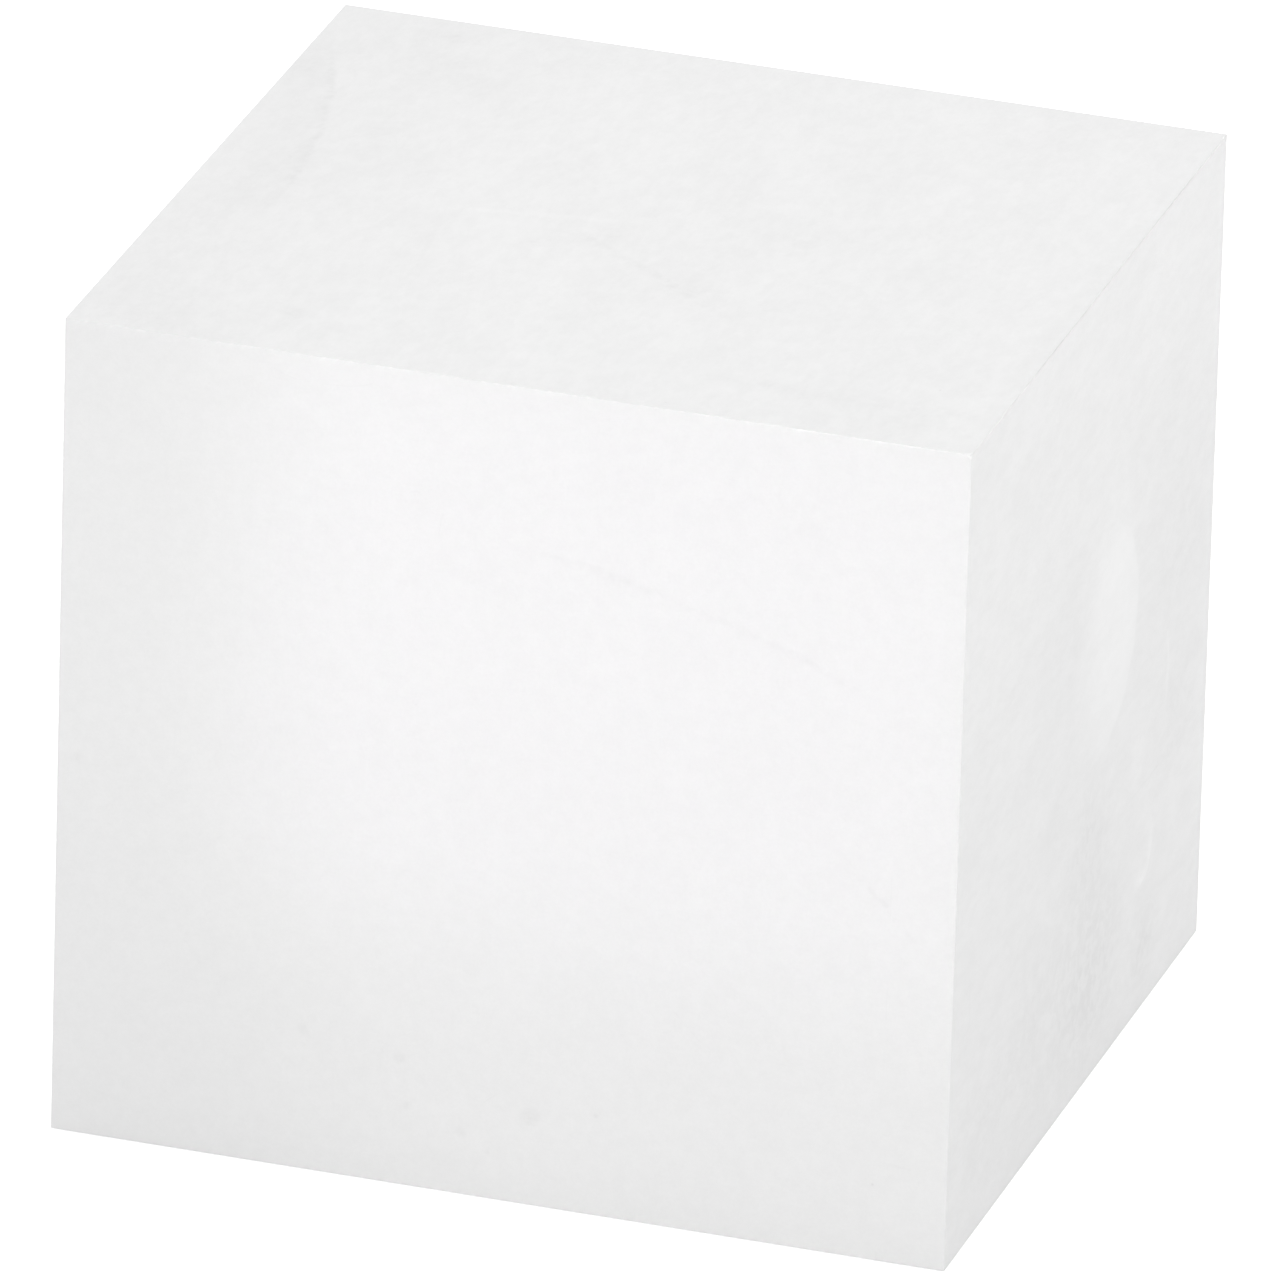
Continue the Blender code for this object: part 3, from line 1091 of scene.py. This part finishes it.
# Each light: name, place, target, width, height, spread in degrees, watts.
LIGHTS = (
    ("top_softbox", (-0.3, 0.2, 2.2), (0, 0, 0.3), 1.6, 1.6, 180, 8.54),
    ("front_softbox", (0.4, -2.4, 1.0), (0, 0, 0.15), 1.4, 1.2, 180, 3.88),
    ("front_left_softbox", (-1.8, -1.8, 1.0), (0, 0, 0.15), 1.0, 1.0, 180, 10.5),
    ("right_softbox", (2.4, -0.2, 1.0), (0, 0, 0.15), 1.2, 1.2, 180, 11.2),
    ("back_right_softbox", (1.6, 1.8, 0.8), (0, 0, 0.15), 1.0, 1.0, 180, 5.38),
    ("front_grid", (0.105, -1.35, 0.26), (0.105, 0, 0.26), 0.39, 0.32, 5, 0.0285),
    ("front_grid_low", (0.08, -1.3, 0.4), (0.08, -0.149, 0.03), 0.30, 0.14, 8, 0.0076),
    ("front_grid_high", (0.105, -1.35, 0.34), (0.105, 0, 0.34), 0.39, 0.12, 7, 0.00238),
    ("front_grid_wide", (0.05, -1.6, 0.25), (0.05, 0, 0.25), 0.45, 0.30, 12, 0.0358),
    ("right_grid_high", (1.35, 0.0, 0.32), (0, 0.0, 0.32), 0.40, 0.2, 9, 0.0159),
    ("right_grid_back", (1.35, 0.12, 0.10), (0, 0.12, 0.10), 0.12, 0.2, 9, 0.00144),
    ("right_grid_blob", (0.9, 0.028, 0.175), (0, 0.028, 0.175), 0.045, 0.07, 3, 0.000469),
    ("right_grid_front", (1.35, -0.16, 0.26), (0, -0.16, 0.26), 0.16, 0.2, 7, 0.00352),
    ("top_grid", (0.06, 0.0, 1.5), (0.06, 0, 0), 0.32, 0.36, 6, 0.00875),
)


def look_at(place, target, roll=0.0):
    """A matrix that puts an object at a place and points its -Z at a target."""
    turn = (target - place).to_track_quat("-Z", "Y").to_matrix().to_4x4()
    return Matrix.Translation(place) @ turn @ Matrix.Rotation(roll, 4, "Z")


FLOOR_TONE = 0.75
FLOOR_GLOW = 0.88


def floor_paint():
    """Pale floor: nearly white to the camera, with a faint shadow, and see-through from below."""
    material = bpy.data.materials.new("floor_paint")
    material.use_nodes = True
    tree = material.node_tree
    tree.nodes.remove(tree.nodes["Principled BSDF"])
    out = tree.nodes["Material Output"]
    seen = add_node(tree, "ShaderNodeLightPath").outputs["Is Camera Ray"]
    below = add_node(tree, "ShaderNodeNewGeometry").outputs["Backfacing"]
    paint = {"Color": (FLOOR_TONE, FLOOR_TONE, FLOOR_TONE, 1)}
    matte = add_node(tree, "ShaderNodeBsdfDiffuse", paint).outputs[0]
    painted_glow = add_node(tree, "ShaderNodeEmission", {"Strength": FLOOR_GLOW}).outputs[0]
    lit = add_node(tree, "ShaderNodeAddShader", {0: matte, 1: painted_glow}).outputs[0]
    shown = add_node(tree, "ShaderNodeMixShader", {0: seen, 1: matte, 2: lit}).outputs[0]
    clear = add_node(tree, "ShaderNodeBsdfTransparent").outputs[0]
    both = add_node(tree, "ShaderNodeMixShader", {0: below, 1: shown, 2: clear}).outputs[0]
    tree.links.new(both, out.inputs["Surface"])
    return material


class DISPLAYCUBE_OT_stage(bpy.types.Operator):
    """Set the floor, the camera and the light"""

    bl_idname = "displaycube.stage"
    bl_label = "Stage"

    def execute(self, context):
        settings = context.scene.display_cube.stage
        self.add_floor(settings)
        self.add_world(context, settings)
        self.add_camera(context, settings)
        for light in LIGHTS:
            self.add_softbox(context, *light)
        context.scene.view_settings.view_transform = "Standard"
        return {"FINISHED"}

    def add_floor(self, settings):
        """A wide flat floor under the cube."""
        bm = bmesh.new()
        bmesh.ops.create_grid(bm, x_segments=1, y_segments=1, size=settings.floor_radius)
        add_mesh("floor", bm, floor_paint())

    def add_world(self, context, settings):
        """Even light from all round, white where the camera sees past the floor."""
        world = bpy.data.worlds.new("studio")
        world.use_nodes = True
        tree = world.node_tree
        seen = add_node(tree, "ShaderNodeLightPath").outputs["Is Camera Ray"]
        inputs = {0: seen, 2: settings.fill, 3: 1.0}
        strength = add_node(tree, "ShaderNodeMix", inputs, data_type="FLOAT")
        sky = tree.nodes["Background"]
        sky.inputs["Color"].default_value = (1, 1, 1, 1)
        tree.links.new(strength.outputs[0], sky.inputs["Strength"])
        context.scene.world = world

    def add_camera(self, context, settings):
        """A long lens, above and to the right of the front."""
        camera = bpy.data.cameras.new("camera")
        camera.lens = settings.lens
        camera.sensor_width = 36.0
        level = math.cos(settings.elevation)
        back = Vector((
            math.sin(settings.azimuth) * level,
            -math.cos(settings.azimuth) * level,
            math.sin(settings.elevation),
        ))
        aim = Vector(settings.aim)
        holder = bpy.data.objects.new("camera", camera)
        holder.matrix_world = look_at(aim + back * settings.distance, aim, settings.roll)
        context.scene.collection.objects.link(holder)
        context.scene.camera = holder

    def add_softbox(self, context, name, place, target, width, height, spread, watts):
        """One flat light, its grid set by the spread."""
        light = bpy.data.lights.new(name, "AREA")
        light.shape = "RECTANGLE"
        light.size, light.size_y = width, height
        light.spread = math.radians(spread)
        light.energy = watts
        lamp = bpy.data.objects.new(name, light)
        lamp.matrix_world = look_at(Vector(place), Vector(target))
        lamp.visible_camera = False
        context.scene.collection.objects.link(lamp)


class DISPLAYCUBE_PT_sidebar(bpy.types.Panel):
    """The cube's operators and settings"""

    bl_idname = "DISPLAYCUBE_PT_sidebar"
    bl_label = "Display Cube"
    bl_space_type = "VIEW_3D"
    bl_region_type = "UI"
    bl_category = "Display Cube"

    def draw(self, context):
        settings = context.scene.display_cube
        for operator in OPERATORS:
            self.layout.operator(operator.bl_idname)
        for group in type(settings).__annotations__:
            box = self.layout.box()
            part = getattr(settings, group)
            for name in type(part).__annotations__:
                box.prop(part, name)


OPERATORS = (
    DISPLAYCUBE_OT_stage,
    DISPLAYCUBE_OT_sheets,
    DISPLAYCUBE_OT_bonds,
    DISPLAYCUBE_OT_strips,
    DISPLAYCUBE_OT_fillets,
    DISPLAYCUBE_OT_foot_pads,
)
SETTINGS = (
    FinishSettings,
    SheetSettings,
    CementSettings,
    StripSettings,
    PadSettings,
    StageSettings,
    DisplayCubeSettings,
)
CLASSES = (*SETTINGS, *OPERATORS, DISPLAYCUBE_PT_sidebar)


def register():
    """Register the classes and the scene's settings."""
    for cls in CLASSES:
        bpy.utils.register_class(cls)
    bpy.types.Scene.display_cube = PointerProperty(type=DisplayCubeSettings)


def unregister():
    """Take the classes and the settings away again."""
    del bpy.types.Scene.display_cube
    for cls in reversed(CLASSES):
        bpy.utils.unregister_class(cls)


def main():
    """Build every piece and the stage."""
    register()
    build_groups()
    bpy.ops.displaycube.stage()
    bpy.ops.displaycube.sheets()
    bpy.ops.displaycube.bonds()
    bpy.ops.displaycube.strips()
    bpy.ops.displaycube.fillets()
    bpy.ops.displaycube.foot_pads()


if __name__ == "__main__":
    main()
